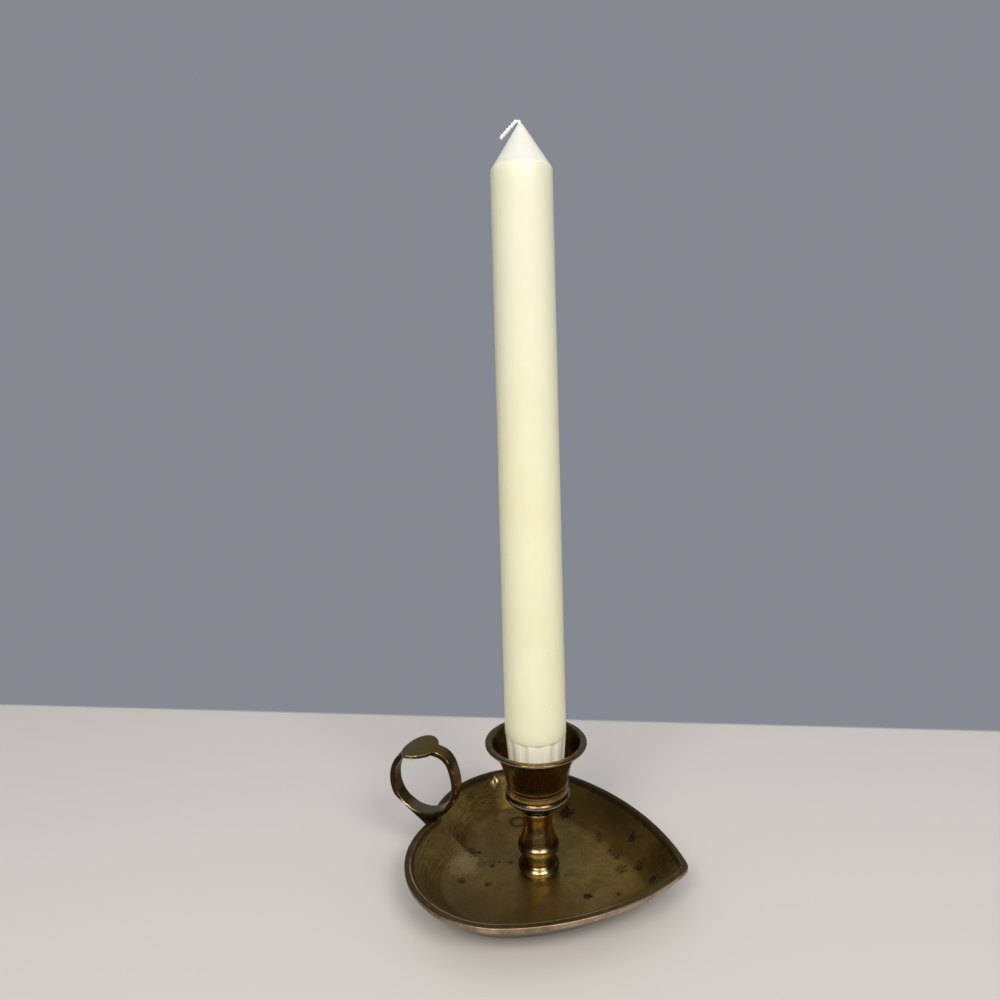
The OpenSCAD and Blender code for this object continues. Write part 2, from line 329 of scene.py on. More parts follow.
def makeCamera():
    bpy.ops.object.camera_add()
    camera = named("photoCamera")
    camera.data.lens = photoView["lens"]
    camera.data.sensor_width = photoView["sensor"]
    camera.data.clip_start = 0.01
    turn = Matrix.Rotation(math.radians(photoView["turn"]), 4, "Z")
    pitch = Matrix.Rotation(math.radians(90 - photoView["pitch"]), 4, "X")
    roll = Matrix.Rotation(math.radians(photoView["roll"]), 4, "Z")
    camera.matrix_world = Matrix.Translation(photoView["place"]) @ turn @ pitch @ roll
    bpy.context.scene.camera = camera


def makeLamps():
    target = Vector((0, 0, 0.1))
    lift = math.radians(studio["lampLift"])
    lamps = [(turn, studio["lampSize"], studio["lampPower"]) for turn in studio["lampTurns"]]
    lamps.append((studio["middleTurn"], studio["middleSize"], studio["middlePower"]))
    for number, (turn, size, power) in enumerate(lamps):
        side = math.radians(turn)
        away = Vector((math.cos(side) * math.cos(lift), math.sin(side) * math.cos(lift), math.sin(lift)))
        bpy.ops.object.light_add(type="AREA", location=away * studio["lampReach"])
        lamp = named("lamp%d" % number)
        lamp.data.energy = power
        lamp.data.shape = "RECTANGLE"
        lamp.data.size = size
        lamp.data.size_y = studio["lampSize"]
        lamp.data.color = studio["lampColour"]
        lamp.rotation_euler = (lamp.location - target).to_track_quat("Z", "Y").to_euler()
    bpy.ops.object.light_add(type="AREA", location=(0, 0, 1.6))
    top = named("topLight")
    top.data.energy = studio["topPower"]
    top.data.size = 1.6
    top.visible_glossy = False


def makeRoom():
    world = bpy.data.worlds.new("room")
    bpy.context.scene.world = world
    world.use_nodes = True
    tree = world.node_tree
    nodes, links = tree.nodes, tree.links
    way = nodes.new("ShaderNodeTexCoord").outputs["Generated"]

    ahead, lift = math.radians(studio["backdropTurn"]), math.radians(studio["backdropLift"])
    facing, share = nodes.new("ShaderNodeVectorMath"), nodes.new("ShaderNodeMapRange")
    facing.operation = "DOT_PRODUCT"
    facing.inputs[1].default_value = (-math.sin(ahead) * math.cos(lift), math.cos(ahead) * math.cos(lift),
                                      math.sin(lift))
    links.new(way, facing.inputs[0])
    share.interpolation_type = "SMOOTHSTEP"
    share.inputs["From Min"].default_value, share.inputs["From Max"].default_value = studio["backdropReach"]
    links.new(facing.outputs["Value"], share.inputs["Value"])

    def mixed(amount, low, high):
        mix = nodes.new("ShaderNodeMix")
        mix.data_type = "RGBA"
        links.new(amount, mix.inputs[0])
        for socket, value in ((mix.inputs[6], low), (mix.inputs[7], high)):
            if isinstance(value, tuple):
                socket.default_value = (*value, 1)
            else:
                links.new(value, socket)
        return mix.outputs[2]

    mirrored = mixed(share.outputs[0], studio["darkSide"], studio["roomColour"])
    seen = mixed(nodes.new("ShaderNodeLightPath").outputs["Is Glossy Ray"], studio["roomColour"], mirrored)
    links.new(seen, nodes["Background"].inputs["Color"])

    clearSelection()
    bpy.ops.mesh.primitive_circle_add(vertices=96, radius=studio["floorReach"], fill_type="NGON")
    floor = named("floor")
    finish = Finish("floorCloth")
    across = math.radians(studio["edgeTurn"])
    depth = finish.add("ShaderNodeVectorMath", {0: finish.place, 1: (-math.sin(across), math.cos(across), 0)},
                       out="Value", operation="DOT_PRODUCT")
    fade = finish.spread(depth, studio["fadeFrom"], studio["fadeTo"])
    finish.shader.inputs["Base Color"].default_value = (*studio["floorColour"], 1)
    finish.shader.inputs["Roughness"].default_value = 0.9
    finish.shader.inputs["Specular IOR Level"].default_value = 0.1
    glow = finish.add("ShaderNodeEmission", {"Color": (*studio["roomColour"], 1), "Strength": 1.0})
    both = finish.add("ShaderNodeMixShader", {0: fade, 1: finish.shader.outputs[0], 2: glow})
    finish.put(finish.output.inputs["Surface"], both)
    finish.wearOn(floor)


makeCamera()
makeLamps()
makeRoom()
print("camera, lamps and floor are set")

# The heart-shaped tray: two round lobes and two straighter sides, all of one section.
trayShape = {
    "lobeRadius": 35.9,
    "lobeBack": 9.6,
    "lobeSide": 11.8,
    "sideStart": 72.8,
    "tipReach": 55.0,
    "rimWidth": 2.1,
    "rimEdge": 1.9,
    "floorThick": 3.6,
    "wallThick": 2.0,
    "wallRun": 12.1,
    "hollow": 8.0,
    "rimRound": 0.45,
    "creaseRound": 0.3,
    "tipRound": 1.4,
    "tipSlope": 2.03,
    "waves": 0.1,
    "waveLength": 24,
    "markPlace": (-30.1, 35.7, 13.9),
    "markRadius": 0.95,
    "markDeep": 0.2,
    "lobeSteps": 170,
    "sideSteps": 84,
    "screwSink": 4.0,
    "screwHole": 2.2,
}
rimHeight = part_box("tray")[1].z / mm


def trayPlan(shape):
    start = math.radians(shape["sideStart"])
    lobe = Vector((-shape["lobeBack"], shape["lobeSide"], 0))
    ray = Vector((math.cos(start), math.sin(start), 0))
    alongX = shape["tipReach"] - lobe.x - shape["lobeRadius"] * ray.x
    alongY = lobe.y + shape["lobeRadius"] * ray.y
    sideRadius = (alongX ** 2 + alongY ** 2) / (2 * (alongY * ray.y - alongX * ray.x))
    side = lobe + ray * (shape["lobeRadius"] - sideRadius)
    return lobe, side, sideRadius, ray


# The section's points as distance in from the outline and height, and the corners to round.
def traySection(shape, reach):
    slope = math.atan2(rimHeight - shape["floorThick"], shape["wallRun"])
    across = shape["wallThick"] / math.sin(slope)
    lip = rimHeight - across * math.tan(slope)
    inFoot = shape["rimWidth"] + shape["wallRun"]
    outFoot = shape["rimWidth"] - across + rimHeight / math.tan(slope)
    inCut = shape["hollow"] * math.tan(slope / 2)
    outCut = (shape["hollow"] + shape["floorThick"]) * math.tan(slope / 2)
    wall = 6
    points = [(d, shape["floorThick"]) for d in reach]
    points += [(inFoot, shape["floorThick"])]
    points += [(inFoot + (shape["rimWidth"] - inFoot) * k / wall,
                shape["floorThick"] + (rimHeight - shape["floorThick"]) * k / wall) for k in range(1, wall)]
    points += [(shape["rimWidth"], rimHeight), (0, rimHeight), (0, rimHeight - shape["rimEdge"]),
               (shape["rimWidth"], lip)]
    points += [(shape["rimWidth"] + (outFoot - shape["rimWidth"]) * k / wall, lip * (1 - k / wall))
               for k in range(1, wall)]
    points += [(outFoot, 0)]
    points += [(d, 0) for d in reversed(reach)]
    corners = [((inFoot, shape["floorThick"]), inCut, 9), ((outFoot, 0), outCut, 9),
               ((shape["rimWidth"], rimHeight), shape["rimRound"], 4),
               ((0, rimHeight), shape["rimRound"], 4),
               ((0, rimHeight - shape["rimEdge"]), shape["rimRound"], 3),
               ((shape["rimWidth"], lip), shape["rimRound"], 3)]
    return points, corners


def insetAt(co, plan, shape):
    lobe, side, sideRadius, ray = plan
    flat = Vector((co.x, math.sqrt(co.y ** 2 + shape["creaseRound"] ** 2), 0))
    overLobe = ray.x * (flat.y - lobe.y) - ray.y * (flat.x - lobe.x) > 0
    if overLobe:
        return shape["lobeRadius"] - (flat - lobe).length
    return sideRadius - (flat - side).length


def spinPart(name, shape, centre, radius, ray, reach, steps, turn):
    points, corners = traySection(shape, reach)
    at = lambda p: centre + ray * (radius - p[0]) + Vector((0, 0, p[1]))
    part = drawOutline(name, [at(p) for p in points])
    for corner, cut, rounding in corners:
        roundCorner(part, at(corner), cut, rounding)
    spinOutline(part, steps, turn, centre)
    return part


# A small round dent in the wall behind the stem.
def punchMark(tray, shape):
    centre = Vector(shape["markPlace"])
    pick(tray)
    bpy.ops.object.mode_set(mode="EDIT")
    bpy.ops.mesh.select_mode(type="FACE")
    bpy.ops.mesh.select_all(action="DESELECT")
    leaveEdit()
    for face in tray.data.polygons:
        face.select = (face.center / mm - centre).length < 3.5 and face.normal.z > 0.2
    bpy.ops.object.mode_set(mode="EDIT")
    bpy.ops.mesh.subdivide(number_cuts=7)
    leaveEdit()
    normals = [v.normal.copy() for v in tray.data.vertices]
    for vertex, normal in zip(tray.data.vertices, normals):
        away = (vertex.co / mm - centre).length
        if away < 2.5 and normal.z > 0.2:
            dent = -math.exp(-((away - shape["markRadius"]) / 0.3) ** 2)
            lip = 0.45 * math.exp(-((away - shape["markRadius"] - 0.65) / 0.3) ** 2)
            vertex.co += normal * ((dent + lip) * shape["markDeep"] * mm)


def makeTray():
    shape = trayShape
    plan = trayPlan(shape)
    lobe, side, sideRadius, ray = plan
    floorRows = [shape["lobeRadius"] - 2 * k for k in range(0, 8)]
    beyond = [shape["lobeRadius"] + 2 * k for k in range(8, 0, -1)]
    lobePart = spinPart("lobe", shape, lobe, shape["lobeRadius"], ray, floorRows, shape["lobeSteps"], 180)
    sidePart = spinPart("side", shape, side, sideRadius, ray, beyond + floorRows, shape["sideSteps"], -52)
    pick(lobePart)
    sidePart.select_set(True)
    bpy.ops.object.join()
    tray = named("heartTray")

    # The half is cut a little off the heart's axis, and then drawn in to it, which rounds the crease.
    soft = shape["creaseRound"]
    for away in (0.0, 0.25, 0.5, 0.85, 1.3, 1.9, 2.7):
        editAll(tray)
        bpy.ops.mesh.bisect(plane_co=(0, math.hypot(away, soft) * mm, 0), plane_no=(0, 1, 0),
                            clear_inner=away == 0)
        leaveEdit()
    for vertex in tray.data.vertices:
        y = vertex.co.y / mm
        vertex.co.y = math.sqrt(max(0.0, y * y - soft * soft)) * mm
    applyModifier(tray, "MIRROR", use_axis=(False, True, False), use_mirror_merge=True, merge_threshold=0.01 * mm)
    closeSurface(tray)

    # The countersunk hole that the stem's screw comes up through.
    sink, hole = shape["screwSink"], shape["screwHole"]
    cutter = turned("sinkCutter", [(0, -0.5), (sink + 0.5, -0.5), (sink, 0), (hole, sink - hole),
                                   (hole, 5), (0, 5)], 64)
    applyModifier(tray, "BOOLEAN", object=cutter, operation="DIFFERENCE", solver="EXACT")
    bpy.data.objects.remove(cutter)

    # The heart's tip is rounded a little more than the notch.
    for vertex in tray.data.vertices:
        x, y = vertex.co.x / mm, abs(vertex.co.y / mm)
        share = min(1, max(0, (x - 15) / 25))
        vertex.co.x -= share * (math.hypot(y, shape["tipRound"]) - y) / shape["tipSlope"] * mm

    def wallOnly(co):
        return min(1, max(0, (insetAt(co, plan, shape) - 2.5) / 5)) * min(1, max(0, (co.z - 2) / 3))

    addWaves(tray, shape["waves"], shape["waveLength"], wallOnly)
    low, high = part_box("tray")
    for vertex in tray.data.vertices:
        vertex.co.y = min(max(vertex.co.y, low.y), high.y)
        vertex.co.z = max(vertex.co.z, 0)
    punchMark(tray, shape)

    # Each point keeps its distance in from the outline, below zero on the outside, for the finish.
    marks = tray.data.attributes.new("inset", "FLOAT", "POINT")
    for vertex, mark in zip(tray.data.vertices, marks.data):
        inset = insetAt(vertex.co / mm, plan, shape)
        mark.value = inset if vertex.normal.z > -0.1 else -inset
    smoothShade(tray, 35)
    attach(tray, "chamberstick")
    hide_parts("tray")
    return tray, plan


tray, plan = makeTray()
print("tray:", len(tray.data.polygons), "faces")

# Stem and cup are turned: radius and height over the tray's floor, or over the stem's seat.
stemShape = {
    "foot": [(6.8, 0), (7.0, 0.1)],
    "lower": [(7.05, 0.3), (7.1, 0.75), (7.35, 1.3), (7.62, 2.0), (7.7, 2.7), (7.55, 3.4), (7.42, 3.6),
              (7.0, 4.0), (6.4, 4.5), (6.05, 5.0), (5.95, 5.6), (6.0, 6.3), (6.3, 7.2), (6.8, 8.2),
              (7.25, 9.1)],
    "line": [(7.1, 9.2), (7.12, 9.35)],
    "upper": [(7.42, 9.5), (7.6, 10.2), (7.7, 11.0), (7.66, 11.6), (7.5, 12.0), (7.16, 12.5), (6.83, 13.05),
              (6.55, 13.8), (6.27, 14.8), (5.9, 16.0), (5.5, 17.6), (5.3, 19.3), (5.35, 21.0), (5.55, 22.4), (5.85, 23.5),
              (6.1, 24.2), (6.2, 24.8), (6.1, 25.3), (5.8, 25.6)],
    "screwBore": 2.0,
    "screwDeep": 12.4,
    "studBore": 3.0,
    "studDeep": 9.5,
}
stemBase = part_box("stem")[0].z / mm
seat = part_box("stem")[1].z / mm


def makeStem():
    shape = stemShape
    height = seat - stemBase
    inside = [(0, shape["screwDeep"]), (shape["screwBore"], shape["screwDeep"]), (shape["screwBore"], 0)]
    top = [(shape["studBore"], height), (shape["studBore"], height - shape["studDeep"]),
           (0, height - shape["studDeep"])]
    profile = inside + shape["foot"] + [tuple(p) for p in throughPoints(shape["lower"], 5)] + shape["line"]
    profile += [tuple(p) for p in throughPoints(shape["upper"], 5)] + top
    stem = turned("turnedStem", [(r, z + stemBase) for r, z in profile])
    smoothShade(stem, 40)
    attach(stem, "chamberstick")
    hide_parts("stem")
    return stem


stem = makeStem()

cupShape = {
    "bowl": [(5.3, 0), (7.0, 1.3), (8.7, 2.5), (10.25, 3.7), (11.25, 4.65), (11.83, 5.3), (12.05, 5.85),
             (11.98, 6.3), (11.8, 6.75), (11.6, 7.1), (11.4, 7.35)],
    "bands": [(11.3, 7.44), (11.3, 7.54), (11.5, 7.66), (11.55, 7.85), (11.5, 8.3), (11.46, 8.8),
              (11.46, 9.4), (11.5, 9.95), (11.5, 10.12), (11.42, 10.22), (11.42, 10.36), (11.52, 10.5),
              (11.57, 10.75), (11.59, 11.1), (11.57, 11.5), (11.52, 11.75), (11.46, 11.85), (11.46, 11.98)],
    "wall": [(11.6, 12.1), (11.68, 12.7), (12.05, 14.2), (13, 18.2), (14.5, 21.5), (16.5, 24.2), (18.3, 25.5)],
    "rim": [(18.5, 25.7), (18.58, 26.0), (18.55, 26.35), (18.35, 26.6), (18.0, 26.7), (16.5, 26.62),
            (16.15, 26.4)],
    "inside": [(15.9, 26.0), (14.7, 24.0), (13.1, 21.2), (11.7, 18.2), (10.75, 14.2), (10.6, 11.4)],
    "bore": 10.6,
    "boreFloor": 5.4,
    "stud": 3.0,
    "studLength": 9.0,
}


def makeCup():
    shape = cupShape
    profile = [(0, -shape["studLength"]), (shape["stud"], -shape["studLength"]), (shape["stud"], 0)]
    profile += [tuple(p) for p in throughPoints(shape["bowl"], 5)] + shape["bands"]
    profile += [tuple(p) for p in throughPoints(shape["wall"], 5)] + shape["rim"]
    profile += [tuple(p) for p in throughPoints(shape["inside"], 4)]
    profile += [(shape["bore"], shape["boreFloor"]), (0, shape["boreFloor"])]
    cup = turned("candleCup", [(r, z + seat) for r, z in profile], 168)
    smoothShade(cup, 40)
    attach(cup, "chamberstick")
    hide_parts("candle_cup")
    return cup


cup = makeCup()
print("stem and cup are turned")

# The finger ring: a band bent into a ring, a thumb plate and a foot, cast as one piece.
ringShape = {
    "back": 45.5,
    "middle": 32.6,
    "holeRadius": 12.0,
    "stretch": 0.3,
    "bandThick": 2.2,
    "bandWide": 6.1,
    "edgeRound": 0.55,
    "plateLong": 14.0,
    "plateWide": 17.2,
    "plateThick": 1.4,
    "plateBack": 1.6,
    "plateBend": 24.0,
    "crown": 44.5,
    "cutTurn": 232,
    "cutReach": 12.95,
    "shoulderTurn": 50,
    "shoulderSpread": 22,
    "shoulder": 1.4,
    "webWide": 3.4,
    "voxel": 0.2,
}


def makeBand(shape):
    inner, outer = shape["holeRadius"], shape["holeRadius"] + shape["bandThick"]
    half = shape["bandWide"] / 2
    centre = Vector((-shape["back"], 0, shape["middle"]))
    corners = [Vector((r, y, 0)) for r, y in ((inner, -half), (outer, -half), (outer, half), (inner, half))]
    band = drawOutline("band", [centre + c for c in corners], closed=True)
    for corner in corners:
        roundCorner(band, centre + corner, shape["edgeRound"], 3)
    spinOutline(band, 96, 360, centre, (0, 1, 0))
    closeSurface(band)
    for vertex in band.data.vertices:
        side = vertex.co / mm - centre
        vertex.co.z += math.copysign(shape["stretch"], side.z) * mm if abs(side.z) > 0.01 else 0
        # The band bulges a little towards the stem, next to the plate.
        offset = (math.degrees(math.atan2(side.z, side.x)) - shape["shoulderTurn"]) / shape["shoulderSpread"]
        vertex.co += Vector((side.x, 0, side.z)).normalized() * shape["shoulder"] * math.exp(-offset ** 2) * mm
        # Outside, the band is cut straight at its lower back, in line with the foot.
        turn = math.atan2(side.z, side.x) - math.radians(shape["cutTurn"])
        radial = math.hypot(side.x, side.z)
        limit = shape["cutReach"] / max(math.cos(turn), 0.01) if math.cos(turn) > 0 else 99
        if radial > inner + 0.2 and limit < outer:
            flat = Vector((side.x, 0, side.z)).normalized()
            share = (radial - inner) / (outer - inner)
            vertex.co -= flat * ((outer - limit) * share * mm)
    return band


def makePlate(shape):
    clearSelection()
    bpy.ops.mesh.primitive_circle_add(vertices=72, radius=1, fill_type="NGON")
    plate = named("thumbPlate")
    top = shape["middle"] + shape["stretch"] + shape["holeRadius"] + shape["bandThick"]
    bpy.ops.object.mode_set(mode="EDIT")
    bpy.ops.mesh.select_all(action="SELECT")
    for _ in range(9):
        bpy.ops.mesh.inset(thickness=0.1, depth=0)
    leaveEdit()
    plate.scale = (shape["plateLong"] / 2 * mm, shape["plateWide"] / 2 * mm, 1)
    plate.location = (-(shape["back"] + shape["plateBack"]) * mm, 0, (top - shape["plateThick"]) * mm)
    bpy.ops.object.transform_apply(location=True, rotation=True, scale=True)
    bpy.ops.object.mode_set(mode="EDIT")
    bpy.ops.mesh.select_all(action="SELECT")
    bpy.ops.mesh.extrude_region_move(TRANSFORM_OT_translate={"value": (0, 0, shape["plateThick"] * mm)})
    leaveEdit()
    closeSurface(plate)
    for vertex in plate.data.vertices:
        away = vertex.co.x / mm + shape["crown"]
        bend = shape["plateBend"]
        vertex.co.z -= (bend - math.sqrt(bend * bend - away * away)) * mm
    return plate


# An upright block across the heart's axis, drawn from the side.
def makeWeb(name, outline, wide):
    web = drawOutline(name, [Vector((x, -wide / 2, z)) for x, z in outline], closed=True)
    editAll(web)
    bpy.ops.mesh.edge_face_add()
    bpy.ops.mesh.extrude_region_move(TRANSFORM_OT_translate={"value": (0, wide * mm, 0)})
    leaveEdit()
    closeSurface(web)
    return web


# The foot is a strut that runs on from the band down the tray's wall, with a narrower web over it.
def makeFoot(shape):
    strut = [(-54.2, 23.3), (-53.5, 22.0), (-45.2, 15.5), (-39.4, 8.4), (-38.0, 9.3), (-43.6, 15.6),
             (-43.9, 16.6), (-46.4, 18.6), (-49.0, 20.2), (-52.6, 22.8)]
    web = [(-50.0, 20.3), (-46.0, 16.8), (-43.4, 15.9), (-41.4, 16.2), (-40.8, 17.4), (-40.4, 19.4),
           (-44.5, 19.3)]
    wide = shape["bandWide"] - 0.3
    return [makeWeb("ringFoot", strut, wide), makeWeb("ringWeb", web, shape["webWide"])]


# How sharply the surface turns at each point, for the wear along the edges.
def markEdges(piece, spacing, rounds):
    mesh = piece.data
    near = [[] for _ in mesh.vertices]
    for edge in mesh.edges:
        a, b = edge.vertices
        near[a].append(b)
        near[b].append(a)
    place = [v.co / mm for v in mesh.vertices]
    turn = []
    for vertex, others in zip(mesh.vertices, near):
        middle = sum((place[k] for k in others), Vector()) / max(1, len(others))
        turn.append((place[vertex.index] - middle).dot(vertex.normal) / spacing * 10)
    for _ in range(rounds):
        turn = [(t + sum(turn[k] for k in others)) / (1 + len(others)) for t, others in zip(turn, near)]
    marks = mesh.attributes.new("edge", "FLOAT", "POINT")
    for mark, value in zip(marks.data, turn):
        mark.value = value


def makeRing():
    shape = ringShape
    band, plate, foot = makeBand(shape), makePlate(shape), makeFoot(shape)
    pick(band)
    for part in [plate] + foot:
        part.select_set(True)
    bpy.ops.object.join()
    ring = named("fingerRing")
    applyModifier(ring, "REMESH", mode="VOXEL", voxel_size=shape["voxel"] * mm)
    applyModifier(ring, "SMOOTH", factor=0.5, iterations=5)
    addWaves(ring, 0.1, 5, shift=3.1)
    markEdges(ring, shape["voxel"], 3)
    smoothShade(ring, 60)
    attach(ring, "chamberstick")
    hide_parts("finger_ring")
    return ring


ring = makeRing()
print("finger ring:", len(ring.data.polygons), "faces")

candleShape = {
    "endRadius": 9.35,
    "footRadius": 11.0,
    "radius": 11.15,
    "topRadius": 10.08,
    "foot": 24.4,
    "body": 217.8,
    "bore": 0.85,
    "flutes": 12,
    "fluteTurn": -67,
    "fluteDeep": 0.5,
    "ridge": 2.2,
    "stepsPerFlute": 22,
}
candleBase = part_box("candle")[0].z / mm
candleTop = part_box("candle")[1].z / mm


def makeCandle():
    shape = candleShape
    bore = shape["bore"]
    profile = [(bore, 0), (shape["endRadius"] - 0.6, 0), (shape["endRadius"] - 0.15, 0.15),
               (shape["endRadius"], 0.5)]
    rows = 44
    slope = (shape["footRadius"] - shape["endRadius"]) / shape["foot"]
    heights = [0.5 + (shape["foot"] - 0.9) * k / rows for k in range(1, rows + 1)]
    heights += [shape["foot"] - 0.3, shape["foot"] - 0.2, shape["foot"] - 0.12, shape["foot"]]
    profile += [(shape["endRadius"] + slope * h, h) for h in heights]
    profile += [(shape["radius"] - 0.05, shape["foot"] + 0.2), (shape["radius"], shape["foot"] + 0.6)]
    for k in range(1, 40):
        profile.append((shape["radius"] + (shape["topRadius"] - shape["radius"]) * k / 40,
                        shape["foot"] + 0.6 + (shape["body"] - 1.1 - shape["foot"]) * k / 40))
    profile += [(shape["topRadius"] + 0.01, shape["body"] - 0.5), (shape["topRadius"] - 0.1, shape["body"] - 0.1),
                (shape["topRadius"] - 0.3, shape["body"] + 0.15)]
    height = candleTop - candleBase
    for k in range(1, 12):
        t = k / 12
        profile.append((shape["topRadius"] - 0.3 + (1.0 - shape["topRadius"] + 0.3) * t,
                        shape["body"] + 0.15 + (height - shape["body"] - 0.15) * t))
    profile += [(1.0, height), (bore, height)]
    steps = shape["flutes"] * shape["stepsPerFlute"]
    points = [Vector((r, 0, z + candleBase)) for r, z in profile]
    candle = drawOutline("taperCandle", points, closed=True)
    spinOutline(candle, steps, 360, (0, 0, 0))
    closeSurface(candle)

    # Each flute is a shallow hollow that ends at a sharp ledge.
    share = 360 / shape["flutes"]
    pitch = 2 * math.pi * shape["radius"] / shape["flutes"]
    halfWidth = (pitch - shape["ridge"]) / 2
    for vertex in candle.data.vertices:
        co = vertex.co / mm
        radius = math.hypot(co.x, co.y)
        high = co.z - candleBase
        if high > shape["foot"] - 0.15 or radius < 7:
            continue
        turn = (math.degrees(math.atan2(co.y, co.x)) - shape["fluteTurn"] + share / 2) % share - share / 2
        across = abs(turn) / share * pitch
        if across < halfWidth:
            factor = 1 - shape["fluteDeep"] * (1 - (across / halfWidth) ** 2) / radius
            vertex.co.x *= factor
            vertex.co.y *= factor
    smoothShade(candle, 40)
    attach(candle, "candle")
    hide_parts("candle")
    return candle


candle = makeCandle()
print("candle:", len(candle.data.polygons), "faces")

# Three plaited strands that come out of the cone, turn over and run down beside it.
wickShape = {
    "bend": 1.05,
    "tail": 6.4,
    "sweep": 135,
    "turn": 198.7,
    "strand": 0.42,
    "wide": 0.45,
    "deep": 0.24,
    "pitch": 3.6,
    "below": 8.0,
}


def wickPath(shape, coneTop):
    out = Matrix.Rotation(math.radians(shape["turn"]), 3, "Z")
    sweep = math.radians(shape["sweep"])
    arcLength = shape["bend"] * sweep
    total = shape["below"] + arcLength + shape["tail"]
    run = []
    count = 220
    for k in range(count + 1):
        s = total * k / count
        if s < shape["below"]:
            place, along = Vector((0, 0, coneTop - shape["below"] + s)), Vector((0, 0, 1))
        elif s < shape["below"] + arcLength:
            a = (s - shape["below"]) / shape["bend"]
            place = Vector((shape["bend"] * (1 - math.cos(a)), 0, coneTop + shape["bend"] * math.sin(a)))
            along = Vector((math.sin(a), 0, math.cos(a)))
        else:
            a = sweep
            past = s - shape["below"] - arcLength
            along = Vector((math.sin(a), 0, math.cos(a)))
            place = Vector((shape["bend"] * (1 - math.cos(a)), 0, coneTop + shape["bend"] * math.sin(a)))
            place += along * past
        across = Vector((0, 1, 0))
        run.append((s, out @ place, out @ across, out @ along.cross(across)))
    return run


def makeWick():
    shape = wickShape
    run = wickPath(shape, candleTop)
    strands = []
    for number in range(3):
        clearSelection()
        bpy.ops.curve.primitive_nurbs_path_add()
        strand = named("strand%d" % number)
        strand.data.splines.clear()
        spline = strand.data.splines.new("POLY")
        spline.points.add(len(run) - 1)
        for point, (s, place, across, deep) in zip(spline.points, run):
            phase = 2 * math.pi * (s / shape["pitch"] + number / 3)
            spot = place + across * (shape["wide"] * math.sin(phase)) + deep * (shape["deep"] * math.sin(2 * phase))
            point.co = (*(spot * mm), 1)
        strand.data.dimensions = "3D"
        strand.data.bevel_depth = shape["strand"] * mm
        strand.data.bevel_resolution = 3
        strand.data.use_fill_caps = True
        pick(strand)
        bpy.ops.object.convert(target="MESH")
        strands.append(bpy.context.object)
    pick(strands[0])
    for strand in strands[1:]:
        strand.select_set(True)
    bpy.ops.object.join()
    wick = named("plaitedWick")
    bpy.ops.object.transform_apply(location=True, rotation=True, scale=True)
    applyModifier(wick, "REMESH", mode="VOXEL", voxel_size=0.07 * mm)
    applyModifier(wick, "SMOOTH", factor=0.5, iterations=2)
    smoothShade(wick, 60)
    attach(wick, "candle")
    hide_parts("wick")
    return wick


wick = makeWick()
print("wick:", len(wick.data.polygons), "faces")


# Aged brass: clean metal, brown patina and dark dirt, mixed by noise, with fine brushed lines.
def agedBrass(name, look):
    finish = Finish(name)
    broad = finish.grain(look["patchSize"], 4, 0.6, 0.4)
    fine = finish.grain(look["mottleSize"], 5, 0.65)
    finish.patch = finish.spread(broad, 0.35, 0.68)
    finish.mottle = finish.spread(fine, 0.3, 0.75)
    finish.lines = finish.grain(0.25, 3, 0.6, space=finish.stretched(look["brush"], turn=look["brushTurn"]))
    finish.tone = finish.blend(finish.patch, look["clean"], look["brown"])
    finish.tone = finish.blend(finish.times(finish.mottle, look["dirt"]), finish.tone, look["dark"])
    finish.rough = finish.math("ADD", finish.spread(fine, 0.3, 0.7, look["rough"][0], look["rough"][1]),
                               finish.math("MULTIPLY", finish.patch, 0.06))
    finish.relief = finish.bump(finish.lines, look["brushDeep"])
    finish.relief = finish.bump(finish.grain(look["pitSize"], 3, 0.6), look["pitDeep"], finish.relief)
    finish.shader.inputs["Metallic"].default_value = 1.0
    finish.shader.inputs["Coat Weight"].default_value = look["coat"]
    finish.shader.inputs["Coat Roughness"].default_value = look["coatRough"]
    return finish


# Fine lines round a turned piece draw its highlights out along its length.
def turnedSheen(finish, amount):
    finish.shader.inputs["Anisotropic"].default_value = amount
    finish.shader.inputs["Anisotropic Rotation"].default_value = 0.25
    tangent = finish.add("ShaderNodeTangent", {}, direction_type="RADIAL", axis="Z")
    finish.put(finish.shader.inputs["Tangent"], tangent)


